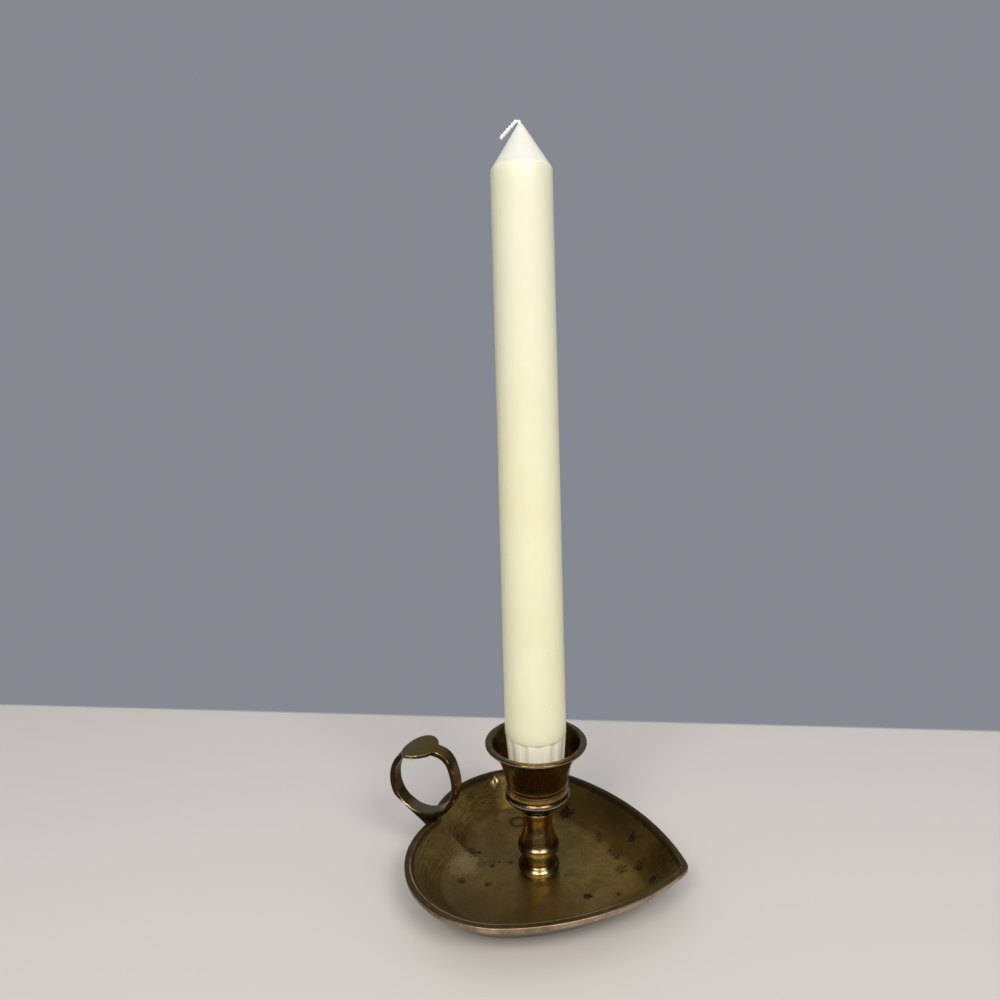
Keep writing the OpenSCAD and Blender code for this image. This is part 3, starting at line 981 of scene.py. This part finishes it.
# Dark stains, rings and pits on the tray: place and radius in mm, then how strong.
trayMarks = {
    "stains": [((-17.7, -3.3, 3.6), 1.3, 0.7), ((-15.9, -0.4, 3.6), 0.9, 0.7), ((-11.4, 0.9, 3.6), 1.6, 0.6),
               ((-15.8, -13, 3.6), 1.8, 0.7), ((-25.6, -14.2, 3.6), 2.4, 0.6), ((20.5, -8.5, 3.6), 2.0, 0.9),
               ((30.5, -4.5, 3.9), 1.5, 0.6), ((42.1, 1.4, 7.3), 1.8, 0.8), ((45.8, 5.7, 13), 1.4, 0.6),
               ((13.6, 13.2, 3.6), 0.7, 0.7), ((18.2, -2.8, 3.6), 0.6, 0.7), ((22.1, -3.8, 3.6), 0.5, 0.7),
               ((24.5, 17.5, 4.6), 2.6, 0.5), ((32.1, 18.7, 10.3), 2.8, 0.8), ((36.5, 8.8, 6.8), 3.2, 0.7),
               ((18.8, 22.9, 5), 3.0, 0.5), ((27, 15, 4.2), 2.6, 0.6), ((29.5, 8.5, 3.8), 3.4, 0.45),
               ((2.3, 33.6, 6.5), 4.4, 0.9), ((-27.5, 1.5, 3.6), 3.2, 0.5), ((-22, -3.5, 3.6), 3.0, 0.4)],
    "rings": [((-16.4, 25.6, 3.8), 3.0, 1.0, 0.7)],
    "pits": [((-25.3, 2.9, 3.6), 0.75), ((-22.7, -0.6, 3.6), 0.6), ((-28.2, -12, 3.7), 0.4),
             ((-34.2, 14.1, 6.8), 0.45), ((30.5, 23.6, 12.9), 0.4), ((6.7, 17.6, 3.6), 0.35)],
    "green": [((-17.7, -3.3, 3.6), 2.6), ((-12.5, 0.5, 3.6), 2.8), ((-20, 1.5, 3.6), 3.0)],
}


def makeTrayBrass():
    finish = agedBrass("trayBrass", {
        "clean": (0.48, 0.32, 0.085), "brown": (0.36, 0.222, 0.055), "dark": (0.15, 0.09, 0.022),
        "patchSize": 24, "mottleSize": 3.2, "dirt": 0.45, "rough": (0.3, 0.42), "coat": 0.04, "coatRough": 0.35,
        "brush": (1, 0.05, 1), "brushTurn": (0, 0, 0.45), "brushDeep": 0.02, "pitSize": 1.1, "pitDeep": 0.03})
    inset = finish.marked("inset")
    inside = finish.spread(inset, 1.9, 2.3)
    wall = finish.times(inside, finish.spread(inset, 14, 10))

    # Lines rubbed along the rim, as inset and the way round, on the wall at the back and the left.
    flat = finish.add("ShaderNodeSeparateXYZ", {0: finish.place}, out=0)
    round_ = finish.math("ARCTAN2", finish.axis("Y"), flat)
    across = finish.add("ShaderNodeCombineXYZ", {0: finish.math("MULTIPLY", inset, 2.6),
                                                 1: finish.math("MULTIPLY", round_, 6)})
    rubbed = finish.add("ShaderNodeTexNoise", {"Vector": across, "Scale": 1.0, "Detail": 3.0, "Roughness": 0.6})
    rubMask = finish.times(wall, finish.spread(finish.grain(9, 2), 0.3, 0.52))
    ends = finish.math("ADD", finish.spread(finish.axis("X"), 0 * mm, -22 * mm),
                       finish.spread(finish.axis("X"), 30 * mm, 42 * mm, 0, 0.6))
    rubMask = finish.times(rubMask, ends)

    # Painted shade: the wall behind the stem on the side of the tip is darkened most, and so is the tip itself.
    deep = finish.most([finish.spot((27, 31, 12), 24, 0.85, 0.1), finish.spot((46, 7, 10), 13, 0.8, 0.15)])
    deep = finish.times(deep, finish.times(inside, finish.spread(inset, 15, 6)))
    finish.tone = finish.blend(finish.math("MULTIPLY", deep, 0.8), finish.tone, (0.09, 0.05, 0.012))
    # Painted shade on the middle of the floor, on the near side and towards the ring.
    past = finish.most([finish.spread(finish.axis(a), 3 * mm, 20 * mm) for a in "XY"])
    floor = finish.times(finish.spread(inset, 7, 15), finish.math("SUBTRACT", 1.0, past))
    finish.tone = finish.blend(finish.math("MULTIPLY", floor, 0.5), finish.tone, (0.19, 0.13, 0.04))
    # Painted reflection of the lamps on the far wall on the ring's side.
    clear = finish.times(wall, finish.spot((-36, 20, 9), 18, 0.7, 0.2))
    finish.tone = finish.blend(finish.math("MULTIPLY", clear, 0.6), finish.tone, (0.80, 0.55, 0.15))
    blotch = finish.times(inside, finish.spread(finish.grain(7, 4, 0.65), 0.48, 0.7))
    finish.tone = finish.blend(finish.math("MULTIPLY", blotch, 0.35), finish.tone, (0.10, 0.07, 0.025))
    # Painted shade over the front of the hollow.
    near = finish.times(finish.spread(finish.axis("Y"), -8 * mm, -34 * mm), finish.spread(inset, 4, 7))
    finish.tone = finish.blend(finish.math("MULTIPLY", near, 0.8), finish.tone, (0.16, 0.095, 0.022))
    # Painted light on the near side of the crease, and painted shade beyond it.
    litNearCrease = finish.times(finish.spot((-28, -5, 4), 10, 0.8, 0.25), finish.spread(finish.axis("Y"), 1 * mm, 0))
    finish.tone = finish.blend(finish.math("MULTIPLY", litNearCrease, 0.6), finish.tone, (0.66, 0.49, 0.20))
    shadeBeyondCrease = finish.times(finish.spot((-33, 7, 7), 10, 0.7, 0.15), finish.spread(finish.axis("Y"), 0, 1 * mm))
    finish.tone = finish.blend(finish.math("MULTIPLY", shadeBeyondCrease, 0.55), finish.tone, (0.10, 0.065, 0.02))
    scored = finish.times(rubMask, finish.spread(rubbed, 0.48, 0.58))
    finish.tone = finish.blend(finish.math("MULTIPLY", scored, 0.65), finish.tone, (0.10, 0.065, 0.02))
    shiny = finish.times(rubMask, finish.spread(rubbed, 0.42, 0.34))
    finish.tone = finish.blend(finish.math("MULTIPLY", shiny, 0.4), finish.tone, (0.72, 0.52, 0.17))
    finish.relief = finish.bump(rubbed, 0.03, finish.relief)
    speckled = finish.spread(finish.grain(0.7, 4, 0.75), 0.35, 0.68)
    finish.tone = finish.blend(finish.math("MULTIPLY", speckled, 0.5), finish.tone, (0.14, 0.09, 0.025))

    stains = finish.most([finish.math("MULTIPLY", finish.spot(c, r, 0.7, 0.35), k)
                          for c, r, k in trayMarks["stains"]])
    rings = finish.most([finish.math("MULTIPLY", finish.loop(c, r, w, 0.35), k)
                         for c, r, w, k in trayMarks["rings"]])
    pits = finish.most([finish.spot(c, r, 0.4, 0.4) for c, r in trayMarks["pits"]])
    specks = finish.times(inside, finish.spread(finish.grain(0.55, 2, 0.7), 0.70, 0.76))
    broken = finish.spread(finish.grain(0.9, 4, 0.8), 0.38, 0.62)
    stains = finish.times(finish.math("MULTIPLY", stains, 1.5), finish.math("ADD", broken, 0.35))
    dirt = finish.most([stains, rings, pits, finish.math("MULTIPLY", specks, 0.8)])
    green = finish.most([finish.spot(c, r, 0.7, 0.6) for c, r in trayMarks["green"]])
    finish.tone = finish.blend(finish.times(green, finish.math("MULTIPLY", broken, 0.55)), finish.tone,
                               (0.12, 0.14, 0.07))
    finish.tone = finish.blend(dirt, finish.tone, (0.035, 0.025, 0.012))
    finish.rough = finish.math("ADD", finish.rough, finish.math("MULTIPLY", dirt, 0.25))
    finish.relief = finish.bump(finish.math("MULTIPLY", pits, -1), 0.15, finish.relief)

    # The rim's flat; the bright line along its inner edge, partly wear and partly a painted highlight, with a
    # painted dark reflection beside it; and the outside, with a painted reflection of the cloth on the upright edge
    # and painted shade under it.
    clothReflectionShare = finish.times(finish.spread(finish.axis("X"), -32 * mm, -2 * mm),
                             finish.spread(finish.grain(9, 4, 0.7), 0.62, 0.36, 0.35, 1.0))
    upright = finish.times(finish.spread(inset, 0.35, 0.0), finish.spread(finish.height(), 14.1, 14.7))
    outside = finish.times(finish.spread(inset, 0.35, 0.0), finish.spread(finish.height(), 14.6, 14.0))
    ragged = finish.math("ADD", inset, finish.math("MULTIPLY", finish.wander, 0.07))
    onTop = finish.times(finish.between(inset, 0.0, 2.0, 0.15), finish.spread(finish.height(), 15.5, 16.0))
    # Partly wear, partly a painted highlight: the bright line along the front of the rim's inner edge.
    worn = finish.times(finish.between(ragged, 1.85, 2.15, 0.1), finish.spread(finish.grain(6, 3, 0.7), 0.3, 0.55))
    worn = finish.times(worn, finish.spread(finish.axis("Y"), -20 * mm, -33 * mm))
    # Painted dark reflection just inside the rim, wider on the far side.
    rimDarkReflection = finish.most([finish.between(ragged, 2.6, 3.2, 0.35),
                          finish.times(finish.between(ragged, 1.6, 3.2, 0.3),
                                       finish.spread(finish.axis("Y"), 0 * mm, 14 * mm))])
    olive = finish.blend(finish.mottle, (0.19, 0.125, 0.045), (0.10, 0.065, 0.024))
    olive = finish.blend(finish.spread(finish.axis("Y"), 5 * mm, 20 * mm), olive, (0.09, 0.06, 0.03))
    finish.tone = finish.blend(onTop, finish.tone, olive)
    # Painted reflection of the cloth on the upright edge, paler towards the tip.
    finish.tone = finish.blend(finish.math("MULTIPLY", upright, 0.85), finish.tone,
                               finish.blend(clothReflectionShare, (0.10, 0.066, 0.032), (0.46, 0.36, 0.27)))
    # Painted shade on the wall under the rim.
    finish.tone = finish.blend(finish.math("MULTIPLY", outside, 0.7), finish.tone, (0.15, 0.11, 0.07))
    finish.tone = finish.blend(finish.math("MULTIPLY", rimDarkReflection, 0.8), finish.tone, (0.06, 0.038, 0.012))
    finish.tone = finish.blend(finish.math("MULTIPLY", worn, 0.95), finish.tone, (0.86, 0.68, 0.42))
    nick = finish.times(finish.between(ragged, -0.3, 0.2, 0.1), finish.spread(finish.grain(1.2, 3, 0.8), 0.58, 0.66))
    finish.tone = finish.blend(finish.math("MULTIPLY", nick, 0.7), finish.tone, (0.16, 0.11, 0.05))

    # The punched mark: a painted glint in a bright diamond, round a dark hole.
    from_ = finish.add("ShaderNodeVectorMath", {0: finish.place, 1: [c * mm for c in trayShape["markPlace"]]},
                       operation="SUBTRACT")
    parts = [finish.math("ABSOLUTE", finish.add("ShaderNodeVectorMath", {0: from_, 1: way}, out="Value",
                                                operation="DOT_PRODUCT"))
             for way in ((620, 187, 0), (0, 0, 530))]
    away = finish.math("ADD", finish.math("ADD", *parts), finish.math("MULTIPLY", finish.wander, 0.12))
    markGlint = finish.times(finish.spread(away, 1.15, 0.85), finish.spot(trayShape["markPlace"], 4, 0.2, 0))
    finish.tone = finish.blend(markGlint, finish.tone, (0.90, 0.74, 0.33))
    hollow = finish.spot(trayShape["markPlace"], 0.7, 0.5, 0.15)
    finish.tone = finish.blend(finish.math("MULTIPLY", hollow, 0.9), finish.tone, (0.18, 0.10, 0.03))
    finish.shader.inputs["Metallic"].default_value = 0.91
    finish.finishOff().wearOn(tray)


def makeStemBrass():
    finish = agedBrass("stemBrass", {
        "clean": (0.62, 0.56, 0.30), "brown": (0.48, 0.40, 0.19), "dark": (0.16, 0.09, 0.035),
        "patchSize": 8, "mottleSize": 1.8, "dirt": 0.25, "rough": (0.2, 0.28), "coat": 0.05, "coatRough": 0.15,
        "brush": (0.02, 0.02, 1), "brushTurn": (0, 0, 0), "brushDeep": 0.012, "pitSize": 0.8, "pitDeep": 0.01})
    high = finish.height()
    lined = finish.spread(finish.lines, 0.5, 0.68)
    finish.tone = finish.blend(finish.math("MULTIPLY", lined, 0.4), finish.tone, (0.10, 0.05, 0.015))
    # Darker bands at the floor, over the bead, over the belly and under the collar: partly dirt in the hollows,
    # partly painted shade.
    hollowDirtAndShade = finish.most([finish.between(high, stemBase + a, stemBase + b, c)
                           for a, b, c in ((0, 0.5, 0.4), (4.4, 6.0, 0.7), (9.1, 9.4, 0.1), (13.2, 16, 1.2),
                                           (23.8, 24.3, 0.25))])
    finish.tone = finish.blend(finish.math("MULTIPLY", hollowDirtAndShade, 0.7), finish.tone, (0.12, 0.055, 0.018))
    # Painted shade: the patina is darkened round the sides, away from the front, and most on the neck.
    front = finish.math("ADD", finish.sideTowards(-71), finish.math("MULTIPLY", finish.wander, 0.04))
    neck = finish.spread(high, stemBase + 12.5, stemBase + 15.5)
    shaded = finish.math("MAXIMUM", finish.spread(front, 0.92, 0.6),
                         finish.times(neck, finish.spread(front, 1.02, 0.86)))
    finish.tone = finish.blend(finish.math("MULTIPLY", shaded, 0.85), finish.tone, (0.085, 0.038, 0.012))
    finish.tone = finish.blend(finish.math("MULTIPLY", neck, 0.6), finish.tone, (0.26, 0.13, 0.035))
    turnedSheen(finish, 0.68)
    finish.finishOff().wearOn(stem)


def makeCupBrass():
    finish = agedBrass("cupBrass", {
        "clean": (0.185, 0.098, 0.024), "brown": (0.125, 0.056, 0.012), "dark": (0.05, 0.022, 0.006),
        "patchSize": 12, "mottleSize": 2.3, "dirt": 0.4, "rough": (0.18, 0.28), "coat": 0.05, "coatRough": 0.15,
        "brush": (0.02, 0.02, 1), "brushTurn": (0, 0, 0), "brushDeep": 0.01, "pitSize": 0.9, "pitDeep": 0.01})
    high, radius = finish.height(), finish.radial()
    over = lambda a, b, c: finish.between(high, seat + a, seat + b, c)
    # The bands between the cut lines are worn to the metal, and the lines themselves are black.
    golden = finish.times(over(7.6, 10.2, 0.2), finish.spread(finish.grain(5, 4, 0.6), 0.3, 0.6, 0.5, 1))
    finish.tone = finish.blend(golden, finish.tone, (0.32, 0.20, 0.058))
    front = finish.spread(finish.sideTowards(-71), 0.35, 0.95)
    # Painted shade: the bowl is darkened round the sides, away from the front.
    away = finish.times(over(-1, 7.1, 0.2), finish.math("SUBTRACT", 1.0, front))
    finish.tone = finish.blend(finish.math("MULTIPLY", over(-1, 7.0, 0.3), 0.6), finish.tone, (0.10, 0.05, 0.02))
    finish.tone = finish.blend(finish.math("MULTIPLY", away, 0.9), finish.tone, (0.03, 0.014, 0.005))
    # Painted highlight: a pale band over the bowl's rounded top, at the front.
    bowl = finish.times(over(6.15, 7.0, 0.15), front)
    finish.tone = finish.blend(finish.math("MULTIPLY", bowl, 0.9), finish.tone, (0.46, 0.39, 0.31))
    # Painted shade on the bowl's underside.
    shadeUnderBowl = over(-1, 5.85, 0.25)
    finish.tone = finish.blend(finish.math("MULTIPLY", shadeUnderBowl, 0.9), finish.tone, (0.04, 0.018, 0.008))
    lines = finish.most([over(7.35, 7.58, 0.08), over(10.16, 10.44, 0.08), over(11.8, 12.1, 0.08)])
    finish.tone = finish.blend(lines, finish.tone, (0.02, 0.01, 0.004))
    rim = finish.times(over(26.3, 28, 0.2), finish.spread(radius, 16.3, 16.6))
    finish.tone = finish.blend(rim, finish.tone,
                               finish.blend(finish.mottle, (0.27, 0.195, 0.085), (0.14, 0.092, 0.038)))
    # Painted shade under the flare of the rim.
    shadeUnderRim = over(23.5, 25.5, 0.6)
    finish.tone = finish.blend(finish.math("MULTIPLY", shadeUnderRim, 0.6), finish.tone, (0.04, 0.02, 0.008))
    # The rim's outer edge is lighter all round: partly wear, partly a painted highlight.
    edge = over(25.95, 26.35, 0.12)
    finish.tone = finish.blend(finish.math("MULTIPLY", edge, 0.6), finish.tone, (0.35, 0.26, 0.19))
    # Painted highlight along the inner lip, at the front.
    lip = finish.times(finish.between(radius, 16.0, 16.35, 0.15), over(26.1, 28, 0.2))
    lip = finish.times(lip, front)
    finish.tone = finish.blend(finish.math("MULTIPLY", lip, 0.8), finish.tone, (0.66, 0.52, 0.36))
    flat = finish.add("ShaderNodeVectorMath", {0: finish.place, 1: (1, 1, 0)}, operation="MULTIPLY")
    outwards = finish.add("ShaderNodeVectorMath", {0: flat, 1: finish.normal}, out="Value",
                          operation="DOT_PRODUCT")
    inner = finish.times(finish.spread(outwards, 0.0, -1 * mm), finish.spread(radius, 16.0, 15.7))
    finish.tone = finish.blend(finish.math("MULTIPLY", inner, 0.8), finish.tone, (0.23, 0.125, 0.036))
    turnedSheen(finish, 0.3)
    finish.finishOff().wearOn(cup)


def makeRingBrass():
    finish = agedBrass("ringBrass", {
        "clean": (0.19, 0.12, 0.037), "brown": (0.11, 0.062, 0.018), "dark": (0.045, 0.027, 0.008),
        "patchSize": 9, "mottleSize": 2.0, "dirt": 0.6, "rough": (0.25, 0.36), "coat": 0.0, "coatRough": 0.3,
        "brush": (1, 0.3, 1), "brushTurn": (0, 0, 0), "brushDeep": 0.02, "pitSize": 0.9, "pitDeep": 0.04})
    edge = finish.math("ADD", finish.marked("edge"), finish.math("MULTIPLY", finish.wander, 0.1))
    # The flat sides of the band are dark and rough; its edges are worn bright.
    facing = finish.add("ShaderNodeSeparateXYZ", {0: finish.normal}, out=1)
    sides = finish.spread(finish.math("ABSOLUTE", facing), 0.45, 0.8)
    finish.tone = finish.blend(finish.math("MULTIPLY", sides, 0.93), finish.tone, (0.032, 0.017, 0.006))
    high = finish.height()
    stemSide = finish.times(finish.spread(finish.axis("X"), -37 * mm, -34 * mm), finish.spread(high, 43, 38))
    finish.tone = finish.blend(finish.math("MULTIPLY", stemSide, 0.6), finish.tone, (0.07, 0.033, 0.011))
    onPlate = finish.times(finish.spread(high, 44.5, 46.0), finish.spread(finish.math("ABSOLUTE", facing), 0.7, 0.4))
    finish.tone = finish.blend(finish.math("MULTIPLY", onPlate, 0.7), finish.tone, (0.29, 0.20, 0.042))
    within = finish.times(finish.spot((-45.5, 0, 24), 9.5, 0.3, 0.1), finish.spread(high, 23.5, 21.5))
    within = finish.times(within, finish.spread(finish.math("ABSOLUTE", facing), 0.5, 0.2))
    finish.tone = finish.blend(finish.math("MULTIPLY", within, 0.5), finish.tone, (0.38, 0.30, 0.19))
    finish.rough = finish.math("ADD", finish.rough, finish.math("MULTIPLY", sides, 0.15))
    worn = finish.times(finish.spread(edge, 0.35, 0.65), finish.spread(finish.grain(3.5, 4, 0.7), 0.40, 0.60))
    finish.tone = finish.blend(finish.math("MULTIPLY", worn, 0.9), finish.tone, (0.78, 0.64, 0.42))
    # Painted shadow in the recess between the ring's bottom, its foot and the tray's rim.
    pocketShadow = finish.times(finish.spot((-44.5, -3, 17.5), 7.5, 0.4, 0.1), finish.spread(high, 19.8, 19.2))
    finish.tone = finish.blend(finish.math("MULTIPLY", pocketShadow, 0.92), finish.tone, (0.02, 0.012, 0.006))
    finish.finishOff().wearOn(ring)


def makeScrewBrass():
    finish = agedBrass("screwBrass", {
        "clean": (0.60, 0.44, 0.18), "brown": (0.38, 0.24, 0.09), "dark": (0.16, 0.10, 0.04),
        "patchSize": 4, "mottleSize": 1.2, "dirt": 0.5, "rough": (0.28, 0.42), "coat": 0.0, "coatRough": 0.3,
        "brush": (1, 0.1, 1), "brushTurn": (0, 0, 0), "brushDeep": 0.01, "pitSize": 0.6, "pitDeep": 0.01})
    finish.finishOff().wearOn(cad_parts["fixing_screw"])


def makeCandleWax():
    finish = Finish("candleWax")
    high = finish.math("ADD", finish.height(), -candleBase)
    cloud = finish.spread(finish.grain(30, 3), 0.35, 0.65)
    finish.tone = finish.blend(cloud, (0.81, 0.79, 0.565), (0.78, 0.755, 0.51))
    upper = finish.spread(high, 110, 210)
    finish.tone = finish.blend(upper, finish.tone, (0.76, 0.745, 0.575))
    # Over the flutes the whiter wax is painted light, thrown up from the cup; the wax is also whiter on the cone,
    # where it was cut.
    foot = finish.spread(high, candleShape["foot"], candleShape["foot"] - 0.4)
    finish.tone = finish.blend(finish.math("MULTIPLY", foot, 0.95), finish.tone, (1.0, 0.955, 0.76))
    cone = finish.spread(high, candleShape["body"], candleShape["body"] + 0.3)
    finish.tone = finish.blend(finish.math("MULTIPLY", cone, 0.95), finish.tone, (0.665, 0.665, 0.59))
    specks = finish.spread(finish.grain(0.7, 2, 0.6), 0.765, 0.79)
    drawnSpecks = finish.most([finish.spot(c, r, 0.4, 0.4) for c, r in (
        ((-0.3, -10.1, 252.1), 0.35), ((7.6, -7.9, 92.4), 0.3), ((6.2, -9.1, 73.7), 0.3),
        ((10.1, -4.2, 92.7), 0.3), ((9.5, -5.7, 74.9), 0.25), ((10.7, -3.1, 61.5), 0.3))])
    finish.tone = finish.blend(finish.math("MULTIPLY", finish.most([specks, drawnSpecks]), 0.45), finish.tone,
                               (0.45, 0.36, 0.22))
    finish.shader.inputs["Subsurface Weight"].default_value = 0.35
    finish.shader.inputs["Subsurface Radius"].default_value = (1.0, 0.85, 0.6)
    finish.shader.inputs["Subsurface Scale"].default_value = 2 * mm
    finish.rough = finish.spread(finish.grain(2), 0.3, 0.7, 0.28, 0.38)
    finish.relief = finish.bump(finish.grain(6, 2), 0.05)
    finish.relief = finish.bump(finish.grain(0.8, 3, space=finish.stretched((1, 1, 0.12))), 0.012, finish.relief)
    finish.finishOff().wearOn(candle)


def makeWickCotton():
    finish = Finish("wickCotton")
    fibres = finish.grain(0.12, 3, 0.7, space=finish.stretched((1, 1, 0.3)))
    finish.tone = finish.blend(finish.spread(finish.grain(0.4), 0.3, 0.7), (0.86, 0.86, 0.84), (0.74, 0.74, 0.72))
    finish.rough = finish.spread(fibres, 0.3, 0.7, 0.7, 0.9)
    finish.relief = finish.bump(fibres, 0.07)
    finish.finishOff().wearOn(wick)


makeTrayBrass()
makeStemBrass()
makeCupBrass()
makeRingBrass()
makeScrewBrass()
makeCandleWax()
makeWickCotton()
print("finishes are on")

view = bpy.context.scene.view_settings
view.view_transform = "Standard"
